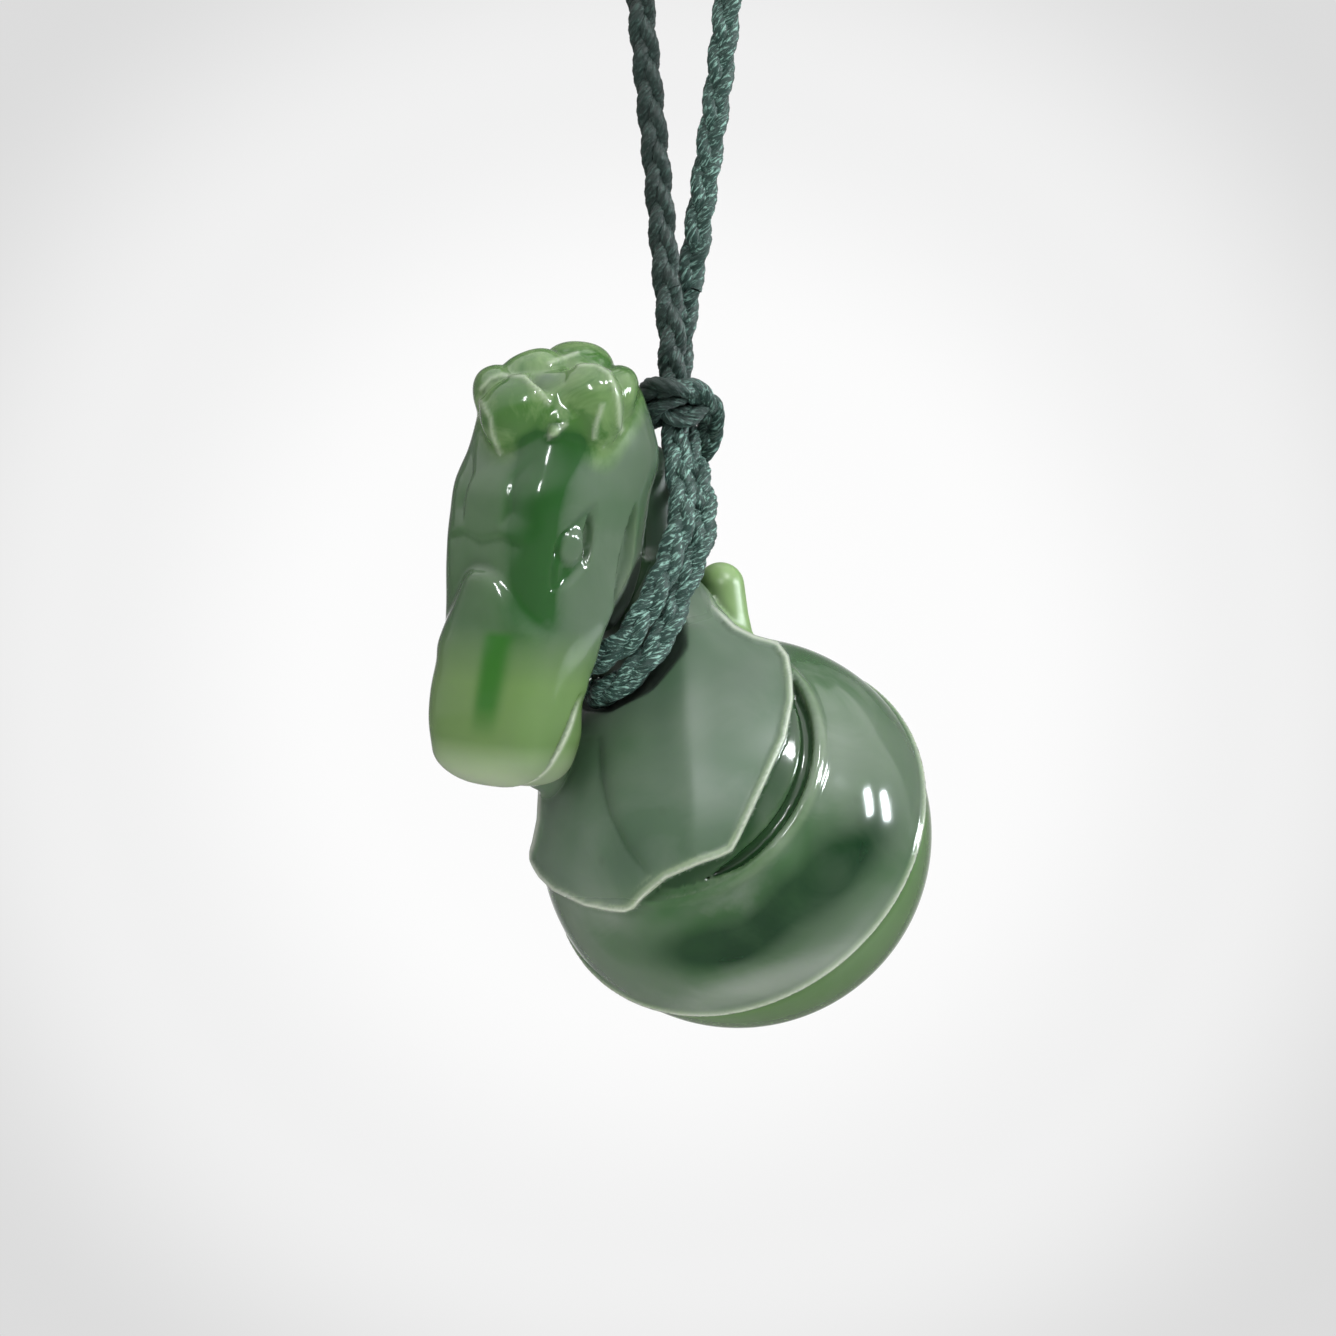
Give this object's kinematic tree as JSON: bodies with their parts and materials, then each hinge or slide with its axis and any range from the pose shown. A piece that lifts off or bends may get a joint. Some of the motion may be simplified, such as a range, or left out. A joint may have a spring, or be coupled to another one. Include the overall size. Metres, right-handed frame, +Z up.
{
  "type": "carved jade pendant on a cord",
  "caption": "Polished green jade carving of a bowed duck-billed creature in a round shell, hitched on a plaited hanging cord.",
  "frame": {"origin": "inside of the cord's top bend, where a peg or a hook bears", "axes": "+Z up along the hanging cord, -Y out of the side that the carving shows to the viewer, +X to the viewer's right"},
  "size_m": [0.0315, 0.0269, 0.0852],
  "materials": {
    "cord_upper": "plaited waxed thread, dark green",
    "cord_hitch": "plaited waxed thread, dark teal green",
    "jade": "polished, translucent, with darker and lighter green zones"
  },
  "bodies": {
    "neck_cord": {"neck_loop": "cord_upper"},
    "twisting_legs": {"leg_pair": "cord_upper"},
    "hitch": {"hitch_cord": "cord_hitch"},
    "carving": {"jade_carving": "jade"}
  },
  "joints": [
    {"name": "twist", "type": "hinge", "parent": "neck_cord", "child": "twisting_legs", "pos_m": [-0.00025, 0, -0.0338], "axis": [0, 0, 1], "range_deg": [-90, 90]},
    {"name": "swing", "type": "hinge", "parent": "twisting_legs", "child": "hitch", "pos_m": [-0.00035, 0, -0.04075], "axis": [0, 1, 0], "range_deg": [-35, 35]},
    {"name": "rock", "type": "hinge", "parent": "hitch", "child": "carving", "pos_m": [-0.006, 0, -0.0615], "axis": [0, -1, 0], "range_deg": [0, 7]}
  ]
}
